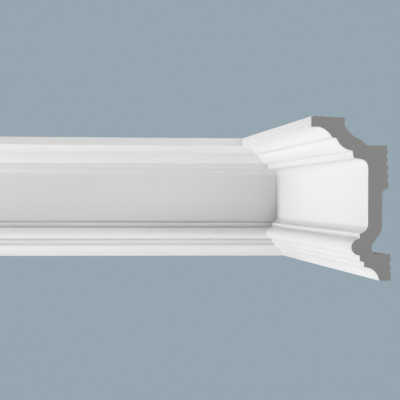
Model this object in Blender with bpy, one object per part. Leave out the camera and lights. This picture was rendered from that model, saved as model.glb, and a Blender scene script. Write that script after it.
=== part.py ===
"""Cornice moulding in an inside corner: two lengths of one profile, mitred where the walls meet.

Metres, +Z up. The origin is the room's corner at ceiling height: the back wall is the plane y = 0,
the side wall the plane x = 0 and the ceiling the plane z = 0. The moulding fills the corner below
and in front of them, so every part of it has x, y and z below zero.
"""

import math

import bmesh
import bpy

# Lengths, each measured along its own wall from the room's corner.
BACK_LENGTH = 0.600
SIDE_LENGTH = 0.730
MITRE_GAP = 0.0003

# Sizes of the face, in the order they come from the ceiling down. OUT is how far a member steps
# away from or back to the wall, DOWN is its height.
FASCIA_DOWN = 0.0133
FASCIA_SOFFIT_OUT = 0.0100
CAVETTO_OUT = 0.0160
CAVETTO_DOWN = 0.0129
CAVETTO_RADIUS = 0.0254
LEDGE_OUT = 0.0053
LEDGE_DOWN = 0.0005
OVOLO_OUT = 0.0196
OVOLO_DOWN = 0.0151
OVOLO_RADIUS = 0.0221
BAND_OUT = 0.0016
BAND_DOWN = 0.0088
CORONA_OUT = 0.0180
CORONA_DOWN = 0.0029
CORONA_COVE_RADIUS = 0.0106
FRIEZE_DOWN = 0.0889
BASE_COVE_OUT = 0.0102
BASE_COVE_RADIUS = 0.0120
HEAD_FILLET_DOWN = 0.0064
TORUS_RADIUS = 0.0103
NECK_FILLET_DOWN = 0.0066
STEP_OUT = 0.0054
STEP_DOWN = 0.0016
TOE_FILLET_DOWN = 0.0059
TOE_COVE_OUT = 0.0189
TOE_COVE_DOWN = 0.0165
TOE_COVE_RADIUS = 0.0189
ARRIS_RADIUS = 0.0012

# Back of the moulding.
HOLLOW_DEPTH = 0.0110
SHELL = 0.0176
SHELL_ANGLE = math.radians(51.5)
CEILING_BEARING = 0.0414
CEILING_REAR_DOWN = 0.0104
HAUNCH_RADIUS = 0.0302
HAUNCH_STEP = 0.0073
BLOCK_HEIGHT = 0.0519
BLOCK_UNDERSIDE_DOWN = 0.0034
BLOCK_COVE_RADIUS = 0.0050
BLOCK_ARRIS_RADIUS = 0.0019
HOLLOW_ROUND_RADIUS = 0.0220
FOOT_HEIGHT = 0.0326
FOOT_ARRIS_RADIUS = 0.0022
GUTTER_OUT = 0.0042
GUTTER_DOWN = 0.0015
THROAT_RISE = 0.0045
THROAT_DOWN = 0.0064
THROAT_THICKNESS = 0.0151
THROAT_SLANT = math.radians(54.0)

# Glue grooves and the slight draft that leaves only the outer edges touching wall and ceiling.
GROOVE_PITCH = 0.00975
GROOVE_WIDTH = 0.0034
GROOVE_DEPTH = 0.0020
GROOVE_MARGIN = 0.0050
CEILING_FIRST_GROOVE = 0.0115
BLOCK_FIRST_GROOVE = 0.0105
FOOT_FIRST_GROOVE = 0.0113
CEILING_LAND = 0.0080
WALL_LAND = 0.0092
CEILING_DRAFT = math.radians(2.8)
WALL_DRAFT = math.radians(1.8)

ARC_STEP = math.radians(7.0)
WHITE_PRIMER = (0.86, 0.86, 0.85, 1.0)

# Distances added up from the sizes above.
DROP = (
    FASCIA_DOWN + CAVETTO_DOWN + LEDGE_DOWN + OVOLO_DOWN + BAND_DOWN + CORONA_DOWN + FRIEZE_DOWN
    + HEAD_FILLET_DOWN + 2.0 * TORUS_RADIUS + NECK_FILLET_DOWN + STEP_DOWN + TOE_FILLET_DOWN
    + TOE_COVE_DOWN
)
FRIEZE_FACE = HOLLOW_DEPTH + SHELL
BASE_FACE = FRIEZE_FACE + BASE_COVE_OUT
PROJECTION = (
    FRIEZE_FACE + CORONA_OUT + BAND_OUT + OVOLO_OUT + LEDGE_OUT + CAVETTO_OUT + FASCIA_SOFFIT_OUT
)


def clear_scene():
    for old in list(bpy.data.objects):
        bpy.data.objects.remove(old, do_unlink=True)


def new_collection(name):
    collection = bpy.data.collections.new(name)
    bpy.context.scene.collection.children.link(collection)
    return collection


def arc(start, end, radius, turn):
    """Points after start up to end on a circular arc; turn is +1 or -1, the side it bulges to."""
    across, along = end[0] - start[0], end[1] - start[1]
    chord = math.hypot(across, along)
    radius = max(radius, 0.5001 * chord)
    reach = math.sqrt(radius * radius - 0.25 * chord * chord)
    middle = (0.5 * (start[0] + end[0]), 0.5 * (start[1] + end[1]))
    centre = (middle[0] - turn * reach * along / chord, middle[1] + turn * reach * across / chord)
    first = math.atan2(start[1] - centre[1], start[0] - centre[0])
    sweep = 2.0 * math.asin(0.5 * chord / radius)
    steps = max(2, math.ceil(sweep / ARC_STEP))
    points = []
    for i in range(1, steps + 1):
        angle = first + turn * sweep * i / steps
        points.append((centre[0] + radius * math.cos(angle), centre[1] + radius * math.sin(angle)))
    return points


def rounded(before, corner, after, radius):
    """Points of a round of the given radius in a corner, no longer than 45% of either side."""
    back = (before[0] - corner[0], before[1] - corner[1])
    ahead = (after[0] - corner[0], after[1] - corner[1])
    back_length, ahead_length = math.hypot(*back), math.hypot(*ahead)
    cosine = (back[0] * ahead[0] + back[1] * ahead[1]) / (back_length * ahead_length)
    half_angle = 0.5 * math.acos(max(-1.0, min(1.0, cosine)))
    tangent = min(radius / math.tan(half_angle), 0.45 * back_length, 0.45 * ahead_length)
    start = (corner[0] + back[0] * tangent / back_length, corner[1] + back[1] * tangent / back_length)
    end = (
        corner[0] + ahead[0] * tangent / ahead_length,
        corner[1] + ahead[1] * tangent / ahead_length,
    )
    side = back[0] * ahead[1] - back[1] * ahead[0]
    return [start] + arc(start, end, tangent * math.tan(half_angle), -1 if side > 0 else 1)


def groove(centre, along, inward):
    """Three points of a V-shaped glue groove cut inward from a point on a back face."""
    half = 0.5 * GROOVE_WIDTH
    return [
        (centre[0] - half * along[0], centre[1] - half * along[1]),
        (centre[0] + GROOVE_DEPTH * inward[0], centre[1] + GROOVE_DEPTH * inward[1]),
        (centre[0] + half * along[0], centre[1] + half * along[1]),
    ]


def groove_places(first, length):
    """Distances of the grooves along a face, as many at the pitch as leave a margin behind."""
    count = 1 + math.floor((length - GROOVE_MARGIN - first) / GROOVE_PITCH)
    return [first + i * GROOVE_PITCH for i in range(count)]


def wall_draft(down):
    """Distance from the wall of the drafted back face at a depth below the ceiling."""
    return max(0.0, DROP - WALL_LAND - down) * math.tan(WALL_DRAFT)


def ceiling_draft(out):
    """Depth below the ceiling of the drafted top face at a distance from the wall."""
    return max(0.0, PROJECTION - CEILING_LAND - out) * math.tan(CEILING_DRAFT)


def face_points():
    """The visible face, from the top of the fascia to the bottom edge."""
    top = (PROJECTION, 0.0)
    fascia_foot = (PROJECTION, FASCIA_DOWN)
    cavetto_head = (PROJECTION - FASCIA_SOFFIT_OUT, FASCIA_DOWN)
    cavetto_foot = (cavetto_head[0] - CAVETTO_OUT, cavetto_head[1] + CAVETTO_DOWN)
    ovolo_head = (cavetto_foot[0] - LEDGE_OUT, cavetto_foot[1] + LEDGE_DOWN)
    ovolo_foot = (ovolo_head[0] - OVOLO_OUT, ovolo_head[1] + OVOLO_DOWN)
    band_foot = (ovolo_foot[0] - BAND_OUT, ovolo_foot[1] + BAND_DOWN)
    frieze_head = (FRIEZE_FACE, band_foot[1] + CORONA_DOWN)
    base_head = (BASE_FACE, frieze_head[1] + FRIEZE_DOWN)
    torus_head = (BASE_FACE, base_head[1] + HEAD_FILLET_DOWN)
    torus_nose = (BASE_FACE + TORUS_RADIUS, torus_head[1] + TORUS_RADIUS)
    torus_foot = (BASE_FACE, torus_nose[1] + TORUS_RADIUS)
    neck_foot = (BASE_FACE, torus_foot[1] + NECK_FILLET_DOWN)
    toe_head = (BASE_FACE - STEP_OUT, neck_foot[1] + STEP_DOWN)
    toe_foot = (toe_head[0], toe_head[1] + TOE_FILLET_DOWN)
    lip = (toe_foot[0] - TOE_COVE_OUT, toe_foot[1] + TOE_COVE_DOWN)

    # The frieze runs down into a cove that leaves it at a tangent and ends on the head fillet.
    base_cove = max(BASE_COVE_RADIUS, 0.5 * BASE_COVE_OUT)
    cove_down = math.sqrt(base_cove ** 2 - (BASE_COVE_OUT - base_cove) ** 2)
    cove_head = (FRIEZE_FACE, base_head[1] - cove_down)

    points = rounded((PROJECTION - CEILING_LAND, 0.0), top, fascia_foot, ARRIS_RADIUS)
    points += rounded(top, fascia_foot, cavetto_head, ARRIS_RADIUS)
    points.append(cavetto_head)
    points += arc(cavetto_head, cavetto_foot, CAVETTO_RADIUS, -1)
    points.append(ovolo_head)
    points += arc(ovolo_head, ovolo_foot, OVOLO_RADIUS, 1)
    points.append(band_foot)
    points += rounded(band_foot, frieze_head, cove_head, CORONA_COVE_RADIUS)
    points.append(cove_head)
    points += arc(cove_head, base_head, base_cove, -1)
    points.append(torus_head)
    points += arc(torus_head, torus_nose, TORUS_RADIUS, 1)
    points += arc(torus_nose, torus_foot, TORUS_RADIUS, 1)
    points += [neck_foot, toe_head, toe_foot]
    points += arc(toe_foot, lip, TOE_COVE_RADIUS, -1)
    return points, ovolo_foot


def back_points(ovolo_foot):
    """The hidden back, from the bottom edge up the wall and along the ceiling to the fascia."""
    foot_top = DROP - FOOT_HEIGHT
    throat_out = BASE_FACE - THROAT_THICKNESS
    throat_foot = (throat_out, foot_top - THROAT_RISE)
    throat_head = (throat_out, throat_foot[1] - THROAT_DOWN)
    slant_rise = (throat_out - HOLLOW_DEPTH) * math.tan(THROAT_SLANT)
    slant_head = (HOLLOW_DEPTH, throat_head[1] - slant_rise)
    haunch = (
        ovolo_foot[0] - SHELL * math.cos(SHELL_ANGLE),
        ovolo_foot[1] - SHELL * math.sin(SHELL_ANGLE),
    )
    block_top = haunch[1] + HAUNCH_STEP
    block_foot = block_top + BLOCK_HEIGHT
    shoulder = (haunch[0] - HAUNCH_STEP, block_top)
    hollow_head = (HOLLOW_DEPTH, block_foot + BLOCK_UNDERSIDE_DOWN)
    block_corner = (wall_draft(block_top), block_top)
    block_heel = (wall_draft(block_foot), block_foot)
    foot_corner = (wall_draft(foot_top), foot_top)
    gutter = (throat_out - GUTTER_OUT, foot_top + GUTTER_DOWN)
    ceiling_rear = PROJECTION - CEILING_BEARING
    rear_top = (ceiling_rear, ceiling_draft(ceiling_rear))
    rear_foot = (ceiling_rear, CEILING_REAR_DOWN)

    points = [(0.0, DROP)]
    points.append((0.0, DROP - WALL_LAND))
    for place in groove_places(FOOT_FIRST_GROOVE, FOOT_HEIGHT):
        points += groove((wall_draft(DROP - place), DROP - place), (0.0, -1.0), (1.0, 0.0))
    points += rounded(points[-1], foot_corner, gutter, FOOT_ARRIS_RADIUS)
    points += rounded(foot_corner, gutter, throat_foot, FOOT_ARRIS_RADIUS)
    points += rounded(gutter, throat_foot, throat_head, ARRIS_RADIUS)
    points += rounded(throat_foot, throat_head, slant_head, FOOT_ARRIS_RADIUS)
    points += rounded(throat_head, slant_head, hollow_head, HOLLOW_ROUND_RADIUS)
    points += rounded(slant_head, hollow_head, block_heel, BLOCK_COVE_RADIUS)
    points += rounded(hollow_head, block_heel, block_corner, ARRIS_RADIUS)
    for place in groove_places(BLOCK_FIRST_GROOVE, BLOCK_HEIGHT):
        depth = block_foot - place
        points += groove((wall_draft(depth), depth), (0.0, -1.0), (1.0, 0.0))
    points += rounded(points[-1], block_corner, shoulder, BLOCK_ARRIS_RADIUS)
    points += rounded(block_corner, shoulder, haunch, BLOCK_ARRIS_RADIUS)
    points.append(haunch)
    points += arc(haunch, rear_foot, HAUNCH_RADIUS, -1)
    points += rounded(rear_foot, rear_top, (PROJECTION, 0.0), ARRIS_RADIUS)
    for place in reversed(groove_places(CEILING_FIRST_GROOVE, CEILING_BEARING)):
        out = PROJECTION - place
        points += groove((out, ceiling_draft(out)), (1.0, 0.0), (0.0, 1.0))
    points.append((PROJECTION - CEILING_LAND, 0.0))
    return points


def profile():
    """The closed outline as (distance from the wall, height from the ceiling) pairs."""
    face, ovolo_foot = face_points()
    return [(out, -down) for out, down in face + back_points(ovolo_foot)]


def primer(name):
    material = bpy.data.materials.new(name)
    material.use_nodes = True
    shader = material.node_tree.nodes["Principled BSDF"]
    shader.inputs["Base Color"].default_value = WHITE_PRIMER
    shader.inputs["Roughness"].default_value = 0.45
    shader.inputs["Metallic"].default_value = 0.0
    return material


def length_of_moulding(name, length, location, turn, collection):
    """One square-cut length: the outline as a flat curve, given half the length to each side."""
    curve = bpy.data.curves.new(name + "_outline", "CURVE")
    curve.dimensions = "2D"
    curve.fill_mode = "BOTH"
    curve.extrude = 0.5 * length
    points = profile()
    spline = curve.splines.new("POLY")
    spline.points.add(len(points) - 1)
    for point, (out, up) in zip(spline.points, points):
        point.co = (out, up, 0.0, 1.0)
    spline.use_cyclic_u = True

    outline = bpy.data.objects.new(name + "_outline", curve)
    outline.location = location
    outline.rotation_euler = (math.radians(90.0), 0.0, turn)
    collection.objects.link(outline)
    bpy.context.view_layer.update()

    evaluated = outline.evaluated_get(bpy.context.evaluated_depsgraph_get())
    mesh = bpy.data.meshes.new_from_object(evaluated)
    shape = bmesh.new()
    shape.from_mesh(mesh)
    bmesh.ops.remove_doubles(shape, verts=shape.verts, dist=0.000001)
    bmesh.ops.recalc_face_normals(shape, faces=shape.faces)
    shape.to_mesh(mesh)
    shape.free()

    body = bpy.data.objects.new(name, mesh)
    body.matrix_world = outline.matrix_world.copy()
    collection.objects.link(body)
    bpy.data.objects.remove(outline, do_unlink=True)
    body.data.materials.clear()
    body.data.materials.append(primer(name + "_primer"))
    return body


def mitre(body, side, collection):
    """Cuts a length back to the 45 degree plane through the corner; side is +1 or -1."""
    reach = PROJECTION + DROP
    away = side * (reach - 0.5 * MITRE_GAP)
    bpy.ops.mesh.primitive_cube_add(
        size=2.0 * reach,
        location=(away * math.sqrt(0.5), -away * math.sqrt(0.5), -0.5 * DROP),
        rotation=(0.0, 0.0, math.radians(-45.0)),
    )
    cutter = bpy.context.active_object
    cutter.name = body.name + "_mitre_cutter"
    for owner in list(cutter.users_collection):
        owner.objects.unlink(cutter)
    collection.objects.link(cutter)
    cutter.hide_render = True
    cutter.display_type = "WIRE"

    cut = body.modifiers.new("Mitre", "BOOLEAN")
    cut.operation = "DIFFERENCE"
    cut.solver = "EXACT"
    cut.object = cutter


def main():
    clear_scene()
    moulding = new_collection("cornice_moulding")
    cutters = new_collection("cutters")

    back = length_of_moulding(
        "back_wall_length",
        BACK_LENGTH,
        (-0.5 * BACK_LENGTH, 0.0, 0.0),
        math.radians(-90.0),
        moulding,
    )
    side = length_of_moulding(
        "side_wall_length",
        SIDE_LENGTH,
        (0.0, -0.5 * SIDE_LENGTH, 0.0),
        math.radians(180.0),
        moulding,
    )
    mitre(back, 1, cutters)
    mitre(side, -1, cutters)


main()
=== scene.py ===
"""White cornice moulding in an inside corner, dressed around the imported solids.

Each length is a grey foam core with a white primer coat on its face. The section is worked out
once as a closed curve, softened at every arris, and carried along both walls to the mitre.
"""

import math

import bpy
import numpy as np
from mathutils import Matrix, Vector


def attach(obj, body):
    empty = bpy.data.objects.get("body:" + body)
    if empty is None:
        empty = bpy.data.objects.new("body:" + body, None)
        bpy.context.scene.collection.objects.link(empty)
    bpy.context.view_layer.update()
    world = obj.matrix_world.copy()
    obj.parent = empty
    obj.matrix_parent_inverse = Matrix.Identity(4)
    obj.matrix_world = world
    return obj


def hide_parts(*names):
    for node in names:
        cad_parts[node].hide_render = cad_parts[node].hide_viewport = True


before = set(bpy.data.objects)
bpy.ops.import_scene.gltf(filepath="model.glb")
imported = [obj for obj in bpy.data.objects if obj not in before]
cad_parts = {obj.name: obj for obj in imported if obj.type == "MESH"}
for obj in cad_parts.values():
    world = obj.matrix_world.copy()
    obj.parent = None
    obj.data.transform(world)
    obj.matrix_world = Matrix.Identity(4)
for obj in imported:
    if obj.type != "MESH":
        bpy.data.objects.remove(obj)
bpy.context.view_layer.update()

# Lengths along the two walls from the room's corner, as in the solids.
BACK_LENGTH = 0.600
SIDE_LENGTH = 0.730
MITRE_GAP = 0.0003

# Face of the section from the ceiling down: OUT is a step from the wall, DOWN a height.
FASCIA_DOWN = 0.0133
FASCIA_SOFFIT_OUT = 0.0100
CAVETTO_OUT, CAVETTO_DOWN, CAVETTO_RADIUS = 0.0160, 0.0129, 0.0254
LEDGE_OUT, LEDGE_DOWN = 0.0053, 0.0005
OVOLO_OUT, OVOLO_DOWN, OVOLO_RADIUS = 0.0196, 0.0151, 0.0221
BAND_OUT, BAND_DOWN = 0.0016, 0.0088
CORONA_OUT, CORONA_DOWN, CORONA_COVE = 0.0180, 0.0029, 0.0106
FRIEZE_DOWN = 0.0889
BASE_COVE_OUT, BASE_COVE_RADIUS = 0.0102, 0.0120
HEAD_FILLET_DOWN = 0.0064
TORUS_RADIUS = 0.0103
NECK_FILLET_DOWN = 0.0066
STEP_OUT, STEP_DOWN = 0.0054, 0.0016
TOE_FILLET_DOWN = 0.0059
TOE_COVE_OUT, TOE_COVE_DOWN, TOE_COVE_RADIUS = 0.0189, 0.0165, 0.0189

# Back of the section.
HOLLOW_DEPTH = 0.0110
SHELL, SHELL_ANGLE = 0.0176, math.radians(51.5)
CEILING_BEARING, CEILING_REAR_DOWN = 0.0414, 0.0104
HAUNCH_RADIUS, HAUNCH_STEP = 0.0302, 0.0073
BLOCK_HEIGHT, BLOCK_UNDERSIDE_DOWN, BLOCK_COVE = 0.0519, 0.0034, 0.0050
HOLLOW_ROUND = 0.0220
FOOT_HEIGHT = 0.0326
GUTTER_OUT, GUTTER_DOWN = 0.0042, 0.0015
THROAT_RISE, THROAT_DOWN, THROAT_THICKNESS = 0.0045, 0.0064, 0.0151
THROAT_SLANT = math.radians(54.0)
GROOVE_PITCH, GROOVE_WIDTH, GROOVE_DEPTH, GROOVE_MARGIN = 0.00975, 0.0036, 0.0025, 0.0050
CEILING_FIRST_GROOVE, BLOCK_FIRST_GROOVE, FOOT_FIRST_GROOVE = 0.0115, 0.0105, 0.0113
CEILING_LAND, WALL_LAND = 0.0080, 0.0092
CEILING_DRAFT, WALL_DRAFT = math.radians(2.8), math.radians(1.8)

DROP = (
    FASCIA_DOWN + CAVETTO_DOWN + LEDGE_DOWN + OVOLO_DOWN + BAND_DOWN + CORONA_DOWN + FRIEZE_DOWN
    + HEAD_FILLET_DOWN + 2.0 * TORUS_RADIUS + NECK_FILLET_DOWN + STEP_DOWN + TOE_FILLET_DOWN
    + TOE_COVE_DOWN
)
FRIEZE_FACE = HOLLOW_DEPTH + SHELL
BASE_FACE = FRIEZE_FACE + BASE_COVE_OUT
PROJECTION = (
    FRIEZE_FACE + CORONA_OUT + BAND_OUT + OVOLO_OUT + LEDGE_OUT + CAVETTO_OUT + FASCIA_SOFFIT_OUT
)

# Finish of the section.
FINE_STEP = 0.00012
ARRIS_SOFTNESS = 0.00055
TURN_PER_POINT = math.radians(7.0)
LONGEST_STEP = 0.008
# How much change of the painted shade marks earns one more point of the curve.
SHADE_PER_POINT = 0.12
# Painted shade in the creases under the overhangs and in the hollow above the foot: how far it
# reaches, and its share where it is darkest.
PAINTED_CREASE_SHADE = {
    "cavetto_foot": (0.0010, 0.20),
    "ovolo_foot": (0.0010, 0.16),
    "soffit": (0.0060, 0.22),
    "frieze_head": (0.0040, 0.06),
    "hollow_foot": (0.0120, 1.00),
}
# Painted shade in the creases behind the ledges, in the same way. The ledges themselves get painted
# shade by slope,
# where they face up: it starts where the face looks up by the first share of a whole and is full at
# the second.
PAINTED_LEDGE_SHADE = {
    "torus_head": (0.0008, 0.28),
    "torus_foot": (0.0017, 0.52),
    "toe_head": (0.0017, 0.58),
}
UPWARD_SHADE_FROM, UPWARD_SHADE_FULL = 0.64, 0.96
# The soffit's painted shade lies at this share of the way from the band's foot to the frieze's head,
# and the painted shade under the torus this far below its crease.
SOFFIT_SHADE_PLACE = 0.3
TORUS_SHADE_DROP = 0.0009
# How strongly each mark of the section shows on the primer of each wall; the crease and ledge marks
# are painted shade.
WALL_MARKS = {
    "back": {"bend": 1.0, "crease_shade": 1.0, "painted_shade": 1.0, "joint": 1.0},
    "side": {"bend": 1.0, "crease_shade": 1.6, "painted_shade": 0.25, "joint": 1.0},
}
# Painted shade in the inside corner of the mitre joint: how far it reaches along the wall, and how far
# out of the frieze's face and how far down the section it still shows.
JOINT_REACH, JOINT_OUT, JOINT_DOWN = 0.0016, 0.0040, 0.1500
# Painted shade in the other creases of the back: its spread, the hollow bends (1 / radius) where it
# starts and is full, and its share there.
BACK_SHADE_SPREAD, BACK_SHADE_FROM, BACK_SHADE_FULL, BACK_SHADE_MOST = 0.0010, 110.0, 480.0, 0.38
# The bends (1 / radius) where the rub on the arrises starts and is full.
RUB_FROM, RUB_FULL = 250.0, 1500.0
# The primer coat: its thickness, that at its edges, how long it thins out towards them, and how far
# it turns in over the ceiling land and the bottom lip.
COAT, COAT_EDGE, COAT_FEATHER, COAT_TURN_IN = 0.00030, 0.00004, 0.0015, 0.0030
# Depth of the sawn ends, and how far the filler stays within the faces and short of the lengths.
CUT_SLICE = 0.0015
FILLER_SHRINK, FILLER_CLEARANCE = 0.00012, 0.00002
ROWS_PER_METRE = 40
SHARP_EDGE = math.radians(40.0)

PRIMER_WHITE = (0.86, 0.86, 0.86, 1.0)
RUBBED_WHITE = (0.93, 0.93, 0.93, 1.0)
# Grey of the painted shade in the primer's creases, on its ledges and in the mitre joint.
CREASE_SHADE_GREY = (0.28, 0.28, 0.28, 1.0)
# Near-black painted shade in the back's creases and the hollow above the foot.
HOLLOW_SHADE_GREY = (0.04, 0.04, 0.04, 1.0)
CORE_GREY = (0.296, 0.293, 0.289, 1.0)
CORE_PIT = (0.20, 0.20, 0.20, 1.0)
BACK_GREY = (0.46, 0.46, 0.45, 1.0)
# The cloudy tone: the shares of its wide and its fine noise, and how far it swings.
CLOUD_WIDE, CLOUD_FINE, CLOUD_SWING = 0.65, 0.35, 4.0
# The painted shade and the rub are patchy: from this share of their strength to all of it.
PATCHY_LEAST = 0.75
# How far into a foam cell, as a share of the cells' spacing, its pit reaches full depth.
PIT_SLOPE = 0.15
# How strongly the pits colour the core and the back, and how high the saw marks and the back's
# grain stand beside the pits' depth. The saw marks are drawn out upwards.
CORE_PIT_SHARE, BACK_PIT_SHARE = 0.35, 0.5
SAW_HEIGHT, GRAIN_HEIGHT = 0.4, 0.5
SAW_STRETCH = (1.0, 1.0, 0.02)

# Studio and camera. Places are in metres from the room's corner, angles in degrees.
IMAGE_PIXELS = 400
FOCAL_PIXELS = 1357.0
SENSOR_WIDTH = 36.0
NEAREST_SEEN, FARTHEST_SEEN = 0.05, 60.0
CAMERA_PLACE = (-0.4008, -2.3518, -0.0990)
CAMERA_YAW, CAMERA_DIP, CAMERA_ROLL = 5.869, 0.113, 0.178
BACKDROP = (0.305, 0.386, 0.440, 1.0)
SKY_TINT = (1.0, 1.0, 1.0, 1.0)
SKY_STRENGTH = 0.01
FLOOR_HEIGHT = -2.5
FLOOR_NEAR, FLOOR_FAR = 9.0, 26.0
FLOOR_COLOUR = (0.56, 0.56, 0.56, 1.0)
LAMP_AIM = (-0.3, -0.4, -0.1)
LAMP_DISTANCE, LAMP_SIZE = 2.6, 1.4
# Name, direction from which it shines (degrees left of the front, degrees up), and power.
LAMPS = [
    ("left_rear", 120.0, 12.0, 18.8),
    ("left_high", 90.0, 40.0, 13.5),
    ("left", 90.0, -12.0, 3.9),
    ("left_low", 90.0, -35.0, 37.4),
    ("front_high", 0.0, 40.0, 7.9),
    ("front_low", 0.0, -35.0, 7.5),
    ("right_front", -20.0, 20.0, 10.9),
    ("right_low", -45.0, -12.0, 7.8),
    ("right_side", -62.0, 0.0, 5.2),
    ("right_side_high", -80.0, 40.0, 36.4),
    ("wall_side_right", -108.0, 20.0, 30.0),
    ("wall_side_corner", -135.0, -15.0, 15.0),
    ("wall_side_back", -140.0, 12.0, 36.0),
]


# The section, as complex numbers: the real part is out from the wall, the imaginary part is down.


def arc(start, end, radius, turn, count=40):
    """Circular arc after start to end: centre + radius * e^(i angle), bulging to side turn."""
    chord = abs(end - start)
    reach = math.sqrt(radius * radius - 0.25 * chord * chord)
    centre = 0.5 * (start + end) + turn * 1j * reach * (end - start) / chord
    sweep = 2.0 * math.asin(0.5 * chord / radius)
    share = np.linspace(0.0, 1.0, count)[1:]
    return centre + (start - centre) * np.exp(1j * turn * sweep * share)


def rounded(before, corner, after, radius):
    """Round of one radius in a corner: the arc that touches both sides at a tangent."""
    back, ahead = before - corner, after - corner
    half_angle = 0.5 * abs(np.angle(back / ahead))
    tangent = radius / math.tan(half_angle)
    start = corner + tangent * back / abs(back)
    end = corner + tangent * ahead / abs(ahead)
    turn = -1 if (np.conj(back) * ahead).imag > 0 else 1
    return np.concatenate([[start], arc(start, end, radius, turn)])


def groove_distances(first, length):
    """Distances of the grooves along a face: first + pitch * k, short of a margin at the end."""
    count = 1 + math.floor((length - GROOVE_MARGIN - first) / GROOVE_PITCH)
    return first + GROOVE_PITCH * np.arange(count)


def grooves(places, travel, inward):
    """V grooves at places on a face: shoulder, bottom and shoulder of each, in travel order."""
    half = 0.5 * GROOVE_WIDTH * travel
    return np.stack([places - half, places + GROOVE_DEPTH * inward, places + half], 1).ravel()


def on_wall(down):
    """Points of the drafted wall side: out is the height above the wall land times tan(draft)."""
    return np.maximum(0.0, DROP - WALL_LAND - down) * math.tan(WALL_DRAFT) + 1j * down


def on_ceiling(out):
    """Points of the drafted ceiling side: down is the distance behind the land * tan(draft)."""
    return out + 1j * np.maximum(0.0, PROJECTION - CEILING_LAND - out) * math.tan(CEILING_DRAFT)


def face_outline():
    """The moulded face with sharp arrises, from the ceiling land to the bottom lip.

    The places of its creases, and of the hollow above the foot, come with it.
    """
    top = complex(PROJECTION, 0.0)
    fascia_foot = top + 1j * FASCIA_DOWN
    cavetto_head = fascia_foot - FASCIA_SOFFIT_OUT
    cavetto_foot = cavetto_head + complex(-CAVETTO_OUT, CAVETTO_DOWN)
    ovolo_head = cavetto_foot + complex(-LEDGE_OUT, LEDGE_DOWN)
    ovolo_foot = ovolo_head + complex(-OVOLO_OUT, OVOLO_DOWN)
    band_foot = ovolo_foot + complex(-BAND_OUT, BAND_DOWN)
    frieze_head = complex(FRIEZE_FACE, band_foot.imag + CORONA_DOWN)
    base_head = complex(BASE_FACE, frieze_head.imag + FRIEZE_DOWN)
    torus_head = base_head + 1j * HEAD_FILLET_DOWN
    torus_nose = torus_head + complex(TORUS_RADIUS, TORUS_RADIUS)
    torus_foot = torus_head + 2j * TORUS_RADIUS
    neck_foot = torus_foot + 1j * NECK_FILLET_DOWN
    toe_head = neck_foot + complex(-STEP_OUT, STEP_DOWN)
    toe_foot = toe_head + 1j * TOE_FILLET_DOWN
    lip = toe_foot + complex(-TOE_COVE_OUT, TOE_COVE_DOWN)
    cove_down = math.sqrt(BASE_COVE_RADIUS ** 2 - (BASE_COVE_OUT - BASE_COVE_RADIUS) ** 2)
    cove_head = complex(FRIEZE_FACE, base_head.imag - cove_down)
    face = [
        [top, fascia_foot, cavetto_head],
        arc(cavetto_head, cavetto_foot, CAVETTO_RADIUS, -1),
        [ovolo_head],
        arc(ovolo_head, ovolo_foot, OVOLO_RADIUS, 1),
        [band_foot],
        rounded(band_foot, frieze_head, cove_head, CORONA_COVE),
        [cove_head],
        arc(cove_head, base_head, BASE_COVE_RADIUS, -1),
        [torus_head],
        arc(torus_head, torus_nose, TORUS_RADIUS, 1),
        arc(torus_nose, torus_foot, TORUS_RADIUS, 1),
        [neck_foot, toe_head, toe_foot],
        arc(toe_foot, lip, TOE_COVE_RADIUS, -1),
    ]
    creases = {
        "cavetto_foot": cavetto_foot, "ovolo_foot": ovolo_foot,
        "soffit": band_foot + SOFFIT_SHADE_PLACE * (frieze_head - band_foot),
        "frieze_head": frieze_head, "torus_head": torus_head,
        "torus_foot": torus_foot + 1j * TORUS_SHADE_DROP, "toe_head": toe_head,
        "hollow_foot": complex(0.5 * (BASE_FACE - THROAT_THICKNESS), DROP - FOOT_HEIGHT),
    }
    return np.concatenate(face), creases


def back_outline(ovolo_foot):
    """The hidden back with sharp arrises: up the wall side, along the haunch and the ceiling."""
    foot_top = DROP - FOOT_HEIGHT
    throat_foot = complex(BASE_FACE - THROAT_THICKNESS, foot_top - THROAT_RISE)
    throat_head = throat_foot - 1j * THROAT_DOWN
    slant_rise = (throat_head.real - HOLLOW_DEPTH) * math.tan(THROAT_SLANT)
    slant_head = complex(HOLLOW_DEPTH, throat_head.imag - slant_rise)
    gutter = complex(throat_foot.real - GUTTER_OUT, foot_top + GUTTER_DOWN)
    haunch = ovolo_foot - SHELL * np.exp(1j * SHELL_ANGLE)
    block_top = haunch.imag + HAUNCH_STEP
    block_foot = block_top + BLOCK_HEIGHT
    hollow_head = complex(HOLLOW_DEPTH, block_foot + BLOCK_UNDERSIDE_DOWN)
    block_heel = on_wall(block_foot)
    rear = PROJECTION - CEILING_BEARING
    rear_foot = complex(rear, CEILING_REAR_DOWN)
    foot_grooves = on_wall(DROP - groove_distances(FOOT_FIRST_GROOVE, FOOT_HEIGHT))
    block_grooves = on_wall(block_foot - groove_distances(BLOCK_FIRST_GROOVE, BLOCK_HEIGHT))
    top_grooves = on_ceiling(PROJECTION - groove_distances(CEILING_FIRST_GROOVE, CEILING_BEARING))
    back = [
        [1j * DROP, 1j * (DROP - WALL_LAND)],
        grooves(foot_grooves, -1j, 1.0),
        [on_wall(foot_top), gutter, throat_foot, throat_head],
        rounded(throat_head, slant_head, hollow_head, HOLLOW_ROUND),
        rounded(slant_head, hollow_head, block_heel, BLOCK_COVE),
        [block_heel],
        grooves(block_grooves, -1j, 1.0),
        [on_wall(block_top), haunch + complex(-HAUNCH_STEP, HAUNCH_STEP), haunch],
        arc(haunch, rear_foot, HAUNCH_RADIUS, -1),
        [on_ceiling(rear)],
        grooves(top_grooves[::-1], 1.0, 1j),
        [complex(PROJECTION - CEILING_LAND, 0.0)],
    ]
    return np.concatenate(back)


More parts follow.
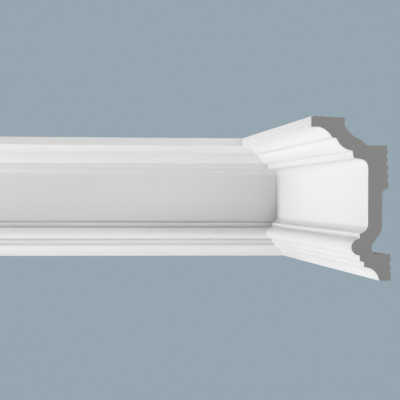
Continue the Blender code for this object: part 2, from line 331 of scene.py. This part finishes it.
def evenly(loop, step):
    """The closed polygon read at equal distances along its length."""
    closed = np.append(loop, loop[0])
    travelled = np.concatenate([[0.0], np.cumsum(np.abs(np.diff(closed)))])
    count = int(travelled[-1] / step)
    places = travelled[-1] * np.arange(count) / count
    return np.interp(places, travelled, closed.real) + 1j * np.interp(places, travelled, closed.imag)


def softened(values, reach):
    """Gaussian average along the closed curve, as a factor on each Fourier term of its values."""
    waves = np.fft.fftfreq(len(values), FINE_STEP)
    return np.fft.ifft(np.fft.fft(values) * np.exp(-2.0 * (math.pi * waves * reach) ** 2))


def section():
    """Points, outward normals, coat thickness and surface marks along the softened section.

    The marks are the bend (1 / radius, positive on an arris), the painted shade in the creases, the
    painted shade on the ledges and where the mitre joint shows painted shade (0 to 1). The curve is
    read where a running sum of turning angle, distance and change of the painted shade passes whole
    numbers, so the arrises and creases get many points and the flats few. It starts where the coat
    starts.
    """
    face, creases = face_outline()
    outline = np.concatenate([face, back_outline(creases["ovolo_foot"])])
    loop = softened(evenly(outline, FINE_STEP), ARRIS_SOFTNESS)
    coat_start = np.argmin(np.abs(loop - complex(PROJECTION - COAT_TURN_IN, 0.0)))
    loop = np.roll(loop, -coat_start)
    lip = complex(BASE_FACE - STEP_OUT - TOE_COVE_OUT - COAT_TURN_IN, DROP)
    coat_stop = np.argmin(np.abs(loop - lip))

    ahead = np.roll(loop, -1) - loop
    behind = loop - np.roll(loop, 1)
    turning = np.angle(ahead / behind)
    length = np.abs(ahead)
    normal = -1j * np.sign(turning.sum()) * (ahead + behind) / np.abs(ahead + behind)
    bend = np.sign(turning.sum()) * turning / length
    travelled = np.cumsum(length) - length[0]
    edge = np.minimum(travelled, travelled[coat_stop] - travelled)
    share = np.clip(edge / COAT_FEATHER, 0.0, 1.0)
    coat = COAT_EDGE + (COAT - COAT_EDGE) * share * share * (3.0 - 2.0 * share)
    coat[edge < 0.0] = 0.0

    # Painted shade on the back: darker in its sharper concave creases.
    hollow = softened(np.maximum(-bend, 0.0), BACK_SHADE_SPREAD).real
    crease_shade = (hollow - BACK_SHADE_FROM) / (BACK_SHADE_FULL - BACK_SHADE_FROM)
    crease_shade = np.where(edge < 0.0, BACK_SHADE_MOST * np.clip(crease_shade, 0.0, 1.0), 0.0)
    # Painted shade on faces that look up, fuller the more they face up.
    painted_shade = np.clip((-normal.imag - UPWARD_SHADE_FROM) / (UPWARD_SHADE_FULL - UPWARD_SHADE_FROM), 0.0, 1.0)
    # Painted shade at the listed creases under the overhangs and in the hollow above the foot.
    for crease, (reach, most) in PAINTED_CREASE_SHADE.items():
        crease_shade = np.maximum(crease_shade, most * np.exp(-(np.abs(loop - creases[crease]) / reach) ** 2))
    # Painted shade at the creases by the ledges.
    for crease, (reach, most) in PAINTED_LEDGE_SHADE.items():
        painted_shade = np.maximum(painted_shade, most * np.exp(-(np.abs(loop - creases[crease]) / reach) ** 2))

    # Where the painted shade of the mitre joint can show: on the frieze and near it.
    frieze = (edge >= 0.0) & (loop.real < FRIEZE_FACE + JOINT_OUT) & (loop.imag < JOINT_DOWN)
    joint = np.where(frieze, 1.0, 0.0)

    effort = np.abs(turning) / TURN_PER_POINT + length / LONGEST_STEP
    for mark in (crease_shade, painted_shade):
        effort = effort + np.abs(np.roll(mark, -1) - mark) / SHADE_PER_POINT
    ordinal = np.cumsum(effort) - effort[0]
    whole = ordinal[-1] * np.arange(math.ceil(ordinal[-1])) / math.ceil(ordinal[-1])
    at = {title: np.interp(whole, ordinal, values) for title, values in (
        ("out", loop.real), ("down", loop.imag), ("normal out", normal.real),
        ("normal down", normal.imag), ("coat", coat), ("bend", bend), ("crease_shade", crease_shade),
        ("painted_shade", painted_shade), ("joint", joint))}
    heading = at["normal out"] + 1j * at["normal down"]
    coated = int(np.searchsorted(whole, ordinal[coat_stop]))
    marks = {title: at[title] for title in ("bend", "crease_shade", "painted_shade", "joint")}
    return at["out"] + 1j * at["down"], heading / np.abs(heading), at["coat"], coated, marks


POINT, NORMAL, COATING, COATED, MARKS = section()
CORE_POINT = POINT - NORMAL * COATING


# Pieces: a closed curve carried along a wall.


def carried(loop, wall, start, stop, rows):
    """Grid of a section curve carried straight along a wall.

    Point (row, i) lies at loop[i], at start + (stop - start) * row / rows along the wall. Start
    and stop may differ from point to point, as they do at the mitre.
    """
    share = np.linspace(0.0, 1.0, rows + 1)[:, None]
    along = start + (stop - start) * share + 0.0 * loop.real
    out = -loop.real + 0.0 * along
    up = -loop.imag + 0.0 * along
    return np.stack((along, out, up) if wall == "back" else (out, along, up), -1)


def at_mitre(loop):
    """Where each point of a curve meets the 45 degree plane, half the mitre gap short of it."""
    return -loop.real - MITRE_GAP * math.sqrt(0.5)


def closed_strip(rows, around):
    """Quads of a grid that is closed around and open along, as whole index arrays."""
    index = np.arange((rows + 1) * around).reshape(rows + 1, around)
    beside = np.roll(index, -1, 1)
    return np.stack([index[:-1], beside[:-1], beside[1:], index[1:]], -1).reshape(-1, 4)


def add_piece(name, points, faces, marks, material, nodes):
    """Makes a piece of the given grid and faces, smooth but for edges sharper than 40 degrees."""
    mesh = bpy.data.meshes.new(name)
    mesh.from_pydata(points.reshape(-1, 3).tolist(), [], faces)
    mesh.update()
    for title, values in marks.items():
        attribute = mesh.attributes.new(title, "FLOAT", "POINT")
        attribute.data.foreach_set("value", np.tile(values, len(points)).astype(np.float32))
    mesh.shade_smooth()
    mesh.set_sharp_from_angle(angle=SHARP_EDGE)
    mesh.materials.append(material)
    piece = bpy.data.objects.new(name, mesh)
    bpy.context.scene.collection.objects.link(piece)
    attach(piece, "root")
    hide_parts(*nodes)
    return piece


def outward(faces, wall):
    """Turns faces round on the side wall, where the section is the back wall's mirror image."""
    return [list(face)[::-1] for face in faces] if wall == "side" else [list(f) for f in faces]


def bar(name, wall, start, stop, rows, material, nodes):
    """A closed bar of the core's section, with one flat face across each end."""
    points = carried(CORE_POINT, wall, start, stop, rows)
    around = len(CORE_POINT)
    faces = closed_strip(rows, around).tolist()
    faces.append(np.arange(around)[::-1].tolist())
    faces.append((rows * around + np.arange(around)).tolist())
    return add_piece(name, points, outward(faces, wall), MARKS, material, nodes)


def primer_skin(name, wall, length, rows, material, nodes):
    """The primer coat: a closed skin from the face down to the core, out and back again."""
    loop = np.concatenate([POINT[:COATED], CORE_POINT[:COATED][::-1]])
    marks = {title: np.concatenate([values[:COATED], values[:COATED][::-1]]) * WALL_MARKS[wall][title]
             for title, values in MARKS.items()}
    points = carried(loop, wall, -length, at_mitre(loop), rows)
    around = len(loop)
    side = np.arange(COATED - 1)
    first = np.stack([side + 1, side, around - 1 - side, around - 2 - side], -1)
    last = first[:, ::-1] + rows * around
    faces = np.concatenate([closed_strip(rows, around), first, last]).tolist()
    return add_piece(name, points, outward(faces, wall), marks, material, nodes)


def mitre_filler(name, material, nodes):
    """The filler in the mitre: the section, a little within the faces, between the two cut planes."""
    loop = POINT - NORMAL * FILLER_SHRINK
    gap = at_mitre(loop) + FILLER_CLEARANCE
    points = np.stack([carried(loop, wall, gap, gap, 0)[0] for wall in ("back", "side")])
    around = len(loop)
    faces = closed_strip(1, around).tolist()
    faces.append(np.arange(around)[::-1].tolist())
    faces.append((around + np.arange(around)).tolist())
    return add_piece(name, points, faces, MARKS, material, nodes)


# Materials. The patterns read Object coordinates, in metres, and the marks of the section.


def node_group(name, inputs, outputs):
    """An empty shader group with named sockets, each given as (name, socket type, default)."""
    group = bpy.data.node_groups.new(name, "ShaderNodeTree")
    for title, kind, value in inputs:
        socket = group.interface.new_socket(name=title, in_out="INPUT", socket_type=kind)
        socket.default_value = value
    for title, kind in outputs:
        group.interface.new_socket(name=title, in_out="OUTPUT", socket_type=kind)
    return group, group.nodes.new("NodeGroupInput"), group.nodes.new("NodeGroupOutput")


def feed(tree, socket, value):
    """Links a socket to the value where that is a socket too, or else sets it to the value."""
    if isinstance(value, bpy.types.NodeSocket):
        tree.links.new(value, socket)
    else:
        socket.default_value = value


def noise(tree, vector, scale, detail, roughness=0.5):
    """Cloudy noise between 0 and 1, with about scale waves to each unit of the vector."""
    node = tree.nodes.new("ShaderNodeTexNoise")
    node.inputs["Scale"].default_value = scale
    node.inputs["Detail"].default_value = detail
    node.inputs["Roughness"].default_value = roughness
    tree.links.new(vector, node.inputs["Vector"])
    return node.outputs["Fac"]


def remap(tree, value, low, high, to_low=0.0, to_high=1.0):
    """Straight line from (low, to_low) to (high, to_high), level before and after."""
    node = tree.nodes.new("ShaderNodeMapRange")
    node.inputs["From Min"].default_value = low
    node.inputs["From Max"].default_value = high
    node.inputs["To Min"].default_value = to_low
    node.inputs["To Max"].default_value = to_high
    tree.links.new(value, node.inputs["Value"])
    return node.outputs["Result"]


def math_node(tree, operation, *values):
    """One arithmetic operation on numbers or sockets."""
    node = tree.nodes.new("ShaderNodeMath")
    node.operation = operation
    for socket, value in zip(node.inputs, values):
        feed(tree, socket, value)
    return node.outputs["Value"]


def mix_colour(tree, factor, first, second):
    """Colour first * (1 - factor) + second * factor. The node takes the colours at 6 and 7."""
    node = tree.nodes.new("ShaderNodeMix")
    node.data_type = "RGBA"
    for socket, value in ((node.inputs[0], factor), (node.inputs[6], first), (node.inputs[7], second)):
        feed(tree, socket, value)
    return node.outputs[2]


def scaled(tree, vector, factor):
    """A vector or a colour times one number."""
    node = tree.nodes.new("ShaderNodeVectorMath")
    node.operation = "SCALE"
    feed(tree, node.inputs[0], vector)
    feed(tree, node.inputs["Scale"], factor)
    return node.outputs["Vector"]


def stretched(tree, scale=(1.0, 1.0, 1.0)):
    """Object coordinates, scaled on each axis."""
    source = tree.nodes.new("ShaderNodeTexCoord")
    mapping = tree.nodes.new("ShaderNodeMapping")
    mapping.inputs["Scale"].default_value = scale
    tree.links.new(source.outputs["Object"], mapping.inputs["Vector"])
    return mapping.outputs["Vector"]


def section_mark(tree, title):
    """One of the marks that the section gives to every point of a piece."""
    node = tree.nodes.new("ShaderNodeAttribute")
    node.attribute_name = title
    return node.outputs["Fac"]


def mottle_group():
    """Slow cloudy change of tone: colour * (1 + swing * amount * (cloud - 0.5)).

    The cloud is a mix of wide and fine noise, each between 0 and 1.
    """
    group, given, result = node_group(
        "cloudy_tone",
        [("Colour", "NodeSocketColor", (0.8, 0.8, 0.8, 1.0)), ("Amount", "NodeSocketFloat", 0.03),
         ("Scale", "NodeSocketFloat", 12.0)],
        [("Colour", "NodeSocketColor"), ("Cloud", "NodeSocketFloat")],
    )
    vector = scaled(group, stretched(group), given.outputs["Scale"])
    wide = noise(group, vector, scale=1.0, detail=3.0)
    fine = noise(group, vector, scale=9.0, detail=4.0, roughness=0.6)
    cloud = math_node(group, "MULTIPLY_ADD", wide, CLOUD_WIDE,
                      math_node(group, "MULTIPLY", fine, CLOUD_FINE))
    centred = math_node(group, "SUBTRACT", cloud, 0.5)
    change = math_node(group, "MULTIPLY", centred, given.outputs["Amount"])
    factor = math_node(group, "ADD", math_node(group, "MULTIPLY", change, CLOUD_SWING), 1.0)
    group.links.new(scaled(group, given.outputs["Colour"], factor), result.inputs["Colour"])
    group.links.new(cloud, result.inputs["Cloud"])
    return group


def crease_group():
    """Grime in the creases and the mitre joint, dust on the ledges and a rubbed tone on the arrises.

    They come from the marks of the section. The strongest of the painted crease, ledge and joint
    shade, made patchy by noise, mixes in the shade colour. The joint lies where x equals y.
    """
    group, given, result = node_group(
        "creases_and_arrises",
        [("Colour", "NodeSocketColor", (0.8, 0.8, 0.8, 1.0)),
         ("Shade Colour", "NodeSocketColor", (0.3, 0.3, 0.3, 1.0)),
         ("Crease Shade", "NodeSocketFloat", 0.3), ("Ledge Shade", "NodeSocketFloat", 0.3),
         ("Joint Shade", "NodeSocketFloat", 0.0), ("Rub", "NodeSocketFloat", 0.1)],
        [("Colour", "NodeSocketColor")],
    )
    bend, crease_shade, ledge = (section_mark(group, title) for title in ("bend", "crease_shade", "painted_shade"))
    arris = remap(group, bend, RUB_FROM, RUB_FULL)
    patches = noise(group, stretched(group), scale=55.0, detail=5.0, roughness=0.6)
    patchy = remap(group, patches, 0.35, 0.65, to_low=PATCHY_LEAST)
    # Painted shade from the crease, ledge and joint marks.
    crease_shade_amount = math_node(group, "MULTIPLY", crease_shade, given.outputs["Crease Shade"])
    ledge_shade_amount = math_node(group, "MULTIPLY", ledge, given.outputs["Ledge Shade"])
    place = group.nodes.new("ShaderNodeSeparateXYZ")
    group.links.new(stretched(group), place.inputs["Vector"])
    across = math_node(group, "SUBTRACT", place.outputs["X"], place.outputs["Y"])
    off_joint = math_node(group, "ABSOLUTE", across)
    nearness = remap(group, off_joint, 0.0, JOINT_REACH, to_low=1.0, to_high=0.0)
    at_joint = math_node(group, "MULTIPLY", nearness, section_mark(group, "joint"))
    joint_shade_amount = math_node(group, "MULTIPLY", at_joint, given.outputs["Joint Shade"])
    crease_or_ledge_shade = math_node(group, "MAXIMUM", crease_shade_amount, ledge_shade_amount)
    painted_shade = math_node(group, "MULTIPLY", math_node(group, "MAXIMUM", crease_or_ledge_shade, joint_shade_amount), patchy)
    shaded_colour = mix_colour(group, painted_shade, given.outputs["Colour"], given.outputs["Shade Colour"])
    rub = math_node(group, "MULTIPLY", math_node(group, "MULTIPLY", arris, patchy),
                    given.outputs["Rub"])
    group.links.new(mix_colour(group, rub, shaded_colour, RUBBED_WHITE), result.inputs["Colour"])
    return group


def pore_group():
    """Closed foam cells, as pits of depth (openness * noise - distance) / slope, from 0 to 1.

    The distance is that to the nearest of many scattered points. The height is 1 - depth.
    """
    group, given, result = node_group(
        "foam_cells",
        [("Cells per Metre", "NodeSocketFloat", 1400.0), ("Openness", "NodeSocketFloat", 0.5)],
        [("Pit", "NodeSocketFloat"), ("Height", "NodeSocketFloat")],
    )
    cells = group.nodes.new("ShaderNodeTexVoronoi")
    cells.inputs["Randomness"].default_value = 1.0
    group.links.new(stretched(group), cells.inputs["Vector"])
    group.links.new(given.outputs["Cells per Metre"], cells.inputs["Scale"])
    patches = noise(group, stretched(group), scale=260.0, detail=3.0)
    reach = math_node(group, "MULTIPLY", given.outputs["Openness"], patches)
    pit = math_node(group, "SUBTRACT", reach, cells.outputs["Distance"])
    open_pit = remap(group, pit, 0.0, PIT_SLOPE)
    group.links.new(open_pit, result.inputs["Pit"])
    group.links.new(math_node(group, "SUBTRACT", 1.0, open_pit), result.inputs["Height"])
    return group


def placed(tree, group, values):
    """A group in a material, with its own values."""
    node = tree.nodes.new("ShaderNodeGroup")
    node.node_tree = group
    for title, value in values.items():
        feed(tree, node.inputs[title], value)
    return node


def blank_material(name, roughness, specular):
    """A new material with its node tree and its one shader."""
    material = bpy.data.materials.new(name)
    material.use_nodes = True
    shader = material.node_tree.nodes["Principled BSDF"]
    shader.inputs["Roughness"].default_value = roughness
    shader.inputs["Specular IOR Level"].default_value = specular
    return material, material.node_tree, shader


def raise_surface(tree, shader, height, distance, strength):
    """Tilts the shading as if the surface stood out by height * distance, blended by strength."""
    bump = tree.nodes.new("ShaderNodeBump")
    bump.inputs["Distance"].default_value = distance
    bump.inputs["Strength"].default_value = strength
    tree.links.new(height, bump.inputs["Height"])
    tree.links.new(bump.outputs["Normal"], shader.inputs["Normal"])


def primer_material(mottle, creases):
    """Sprayed white primer: satin-matt and faintly pebbled, with painted shade in its creases, on its
    ledges and in the joint, and rubbed arrises.
    """
    material, tree, shader = blank_material("white_primer", roughness=0.5, specular=0.4)
    cloudy = placed(tree, mottle, {"Colour": PRIMER_WHITE, "Amount": 0.012, "Scale": 9.0})
    # Grey painted shade in the creases, on the ledges and along the mitre joint.
    edged = placed(tree, creases, {
        "Colour": cloudy.outputs["Colour"], "Shade Colour": CREASE_SHADE_GREY,
        "Crease Shade": 1.0, "Ledge Shade": 0.78, "Joint Shade": 0.2, "Rub": 0.3,
    })
    tree.links.new(edged.outputs["Colour"], shader.inputs["Base Color"])
    sheen = remap(tree, cloudy.outputs["Cloud"], 0.3, 0.7, to_low=0.44, to_high=0.56)
    tree.links.new(sheen, shader.inputs["Roughness"])
    pebble = noise(tree, stretched(tree), scale=900.0, detail=2.0)
    raise_surface(tree, shader, pebble, distance=0.00004, strength=0.5)
    return material


def core_material(mottle, cells):
    """Sawn foam: mid grey and matt, with small closed cells and faint upright saw marks."""
    material, tree, shader = blank_material("cut_core", roughness=0.9, specular=0.2)
    cloudy = placed(tree, mottle, {"Colour": CORE_GREY, "Amount": 0.02, "Scale": 30.0})
    foam = placed(tree, cells, {"Cells per Metre": 1500.0, "Openness": 0.55})
    shown = math_node(tree, "MULTIPLY", foam.outputs["Pit"], CORE_PIT_SHARE)
    pitted = mix_colour(tree, shown, cloudy.outputs["Colour"], CORE_PIT)
    tree.links.new(pitted, shader.inputs["Base Color"])
    saw = noise(tree, stretched(tree, SAW_STRETCH), scale=2200.0, detail=2.0)
    height = math_node(tree, "MULTIPLY_ADD", saw, SAW_HEIGHT, foam.outputs["Height"])
    raise_surface(tree, shader, height, distance=0.00012, strength=0.5)
    return material


def back_material(mottle, creases, cells):
    """Bare moulded skin of the back: pale grey foam, matt, mottled, with pinholes and painted shade in
    its creases and the hollow above the foot.
    """
    material, tree, shader = blank_material("raw_back", roughness=0.75, specular=0.3)
    cloudy = placed(tree, mottle, {"Colour": BACK_GREY, "Amount": 0.06, "Scale": 16.0})
    # Near-black painted shade in the back's creases and the hollow above the foot.
    edged = placed(tree, creases, {
        "Colour": cloudy.outputs["Colour"], "Shade Colour": HOLLOW_SHADE_GREY,
        "Crease Shade": 1.0, "Ledge Shade": 0.06, "Joint Shade": 0.0, "Rub": 0.0,
    })
    foam = placed(tree, cells, {"Cells per Metre": 420.0, "Openness": 0.36})
    shown = math_node(tree, "MULTIPLY", foam.outputs["Pit"], BACK_PIT_SHARE)
    pitted = mix_colour(tree, shown, edged.outputs["Colour"], CORE_GREY)
    tree.links.new(pitted, shader.inputs["Base Color"])
    grain = noise(tree, stretched(tree), scale=700.0, detail=3.0)
    height = math_node(tree, "MULTIPLY_ADD", grain, GRAIN_HEIGHT, foam.outputs["Height"])
    raise_surface(tree, shader, height, distance=0.0001, strength=0.6)
    return material


mottle, creases, cells = mottle_group(), crease_group(), pore_group()
white_primer = primer_material(mottle, creases)
cut_core = core_material(mottle, cells)
raw_back = back_material(mottle, creases, cells)

for wall, length in (("back", BACK_LENGTH), ("side", SIDE_LENGTH)):
    node = wall + "_wall_length"
    rows = int(length * ROWS_PER_METRE)
    cut = CUT_SLICE - length
    bar(wall + "_cut_end", wall, -length, cut, 1, cut_core, [node])
    bar(wall + "_core", wall, cut, at_mitre(CORE_POINT), rows, raw_back, [node])
    primer_skin(wall + "_primer", wall, length, rows, white_primer, [node])
mitre_filler("mitre_filler", white_primer, ["back_wall_length", "side_wall_length"])


# Studio: a pale floor well below, a plain backdrop colour, soft lamps, the camera.


def studio_floor():
    """A plain pale floor well below, glowing evenly, that gives the part soft light from below.

    It reaches further to the front and the right, where only the raised views see it.
    """
    points = [(x, y, FLOOR_HEIGHT) for x, y in
              ((-FLOOR_NEAR, -FLOOR_FAR), (FLOOR_FAR, -FLOOR_FAR), (FLOOR_FAR, FLOOR_NEAR),
               (-FLOOR_NEAR, FLOOR_NEAR))]
    mesh = bpy.data.meshes.new("studio_floor")
    mesh.from_pydata(points, [], [(0, 1, 2, 3)])
    material, _, shader = blank_material("studio_floor", roughness=1.0, specular=0.0)
    shader.inputs["Base Color"].default_value = (0.0, 0.0, 0.0, 1.0)
    shader.inputs["Emission Color"].default_value = FLOOR_COLOUR
    shader.inputs["Emission Strength"].default_value = 1.0
    mesh.materials.append(material)
    floor = bpy.data.objects.new("studio_floor", mesh)
    bpy.context.scene.collection.objects.link(floor)


def backdrop():
    """The photograph's blue-grey where the camera looks past the part, a trace of light elsewhere."""
    world = bpy.data.worlds.new("studio")
    world.use_nodes = True
    tree = world.node_tree
    tree.nodes.clear()
    seen = tree.nodes.new("ShaderNodeBackground")
    seen.inputs["Color"].default_value = BACKDROP
    light = tree.nodes.new("ShaderNodeBackground")
    light.inputs["Color"].default_value = SKY_TINT
    light.inputs["Strength"].default_value = SKY_STRENGTH
    path = tree.nodes.new("ShaderNodeLightPath")
    mix = tree.nodes.new("ShaderNodeMixShader")
    output = tree.nodes.new("ShaderNodeOutputWorld")
    tree.links.new(path.outputs["Is Camera Ray"], mix.inputs[0])
    tree.links.new(light.outputs[0], mix.inputs[1])
    tree.links.new(seen.outputs[0], mix.inputs[2])
    tree.links.new(mix.outputs[0], output.inputs["Surface"])
    bpy.context.scene.world = world


def soft_lamp(name, azimuth, elevation, power):
    """A square lamp on a sphere round the part, facing it, and not itself in the picture."""
    left, up = math.radians(azimuth), math.radians(elevation)
    away = Vector((-math.sin(left) * math.cos(up), -math.cos(left) * math.cos(up), math.sin(up)))
    data = bpy.data.lights.new(name, "AREA")
    data.shape = "SQUARE"
    data.size = LAMP_SIZE
    data.energy = power
    lamp = bpy.data.objects.new(name, data)
    lamp.location = Vector(LAMP_AIM) + LAMP_DISTANCE * away
    lamp.rotation_euler = away.to_track_quat("Z", "Y").to_euler()
    lamp.visible_camera = False
    bpy.context.scene.collection.objects.link(lamp)


def photograph_camera():
    """The photograph's view, fitted to the edges of both lengths and the section."""
    data = bpy.data.cameras.new("camera")
    data.sensor_width = SENSOR_WIDTH
    data.lens = SENSOR_WIDTH * FOCAL_PIXELS / IMAGE_PIXELS
    data.clip_start, data.clip_end = NEAREST_SEEN, FARTHEST_SEEN
    camera = bpy.data.objects.new("camera", data)
    level = Matrix.Rotation(math.radians(90.0 - CAMERA_DIP), 4, "X")
    turned = Matrix.Rotation(math.radians(-CAMERA_YAW), 4, "Z") @ level
    rolled = turned @ Matrix.Rotation(math.radians(CAMERA_ROLL), 4, "Z")
    camera.matrix_world = Matrix.Translation(CAMERA_PLACE) @ rolled
    bpy.context.scene.collection.objects.link(camera)
    bpy.context.scene.camera = camera


photograph_camera()
studio_floor()
backdrop()
for lamp in LAMPS:
    soft_lamp(*lamp)
bpy.context.scene.view_settings.view_transform = "Standard"
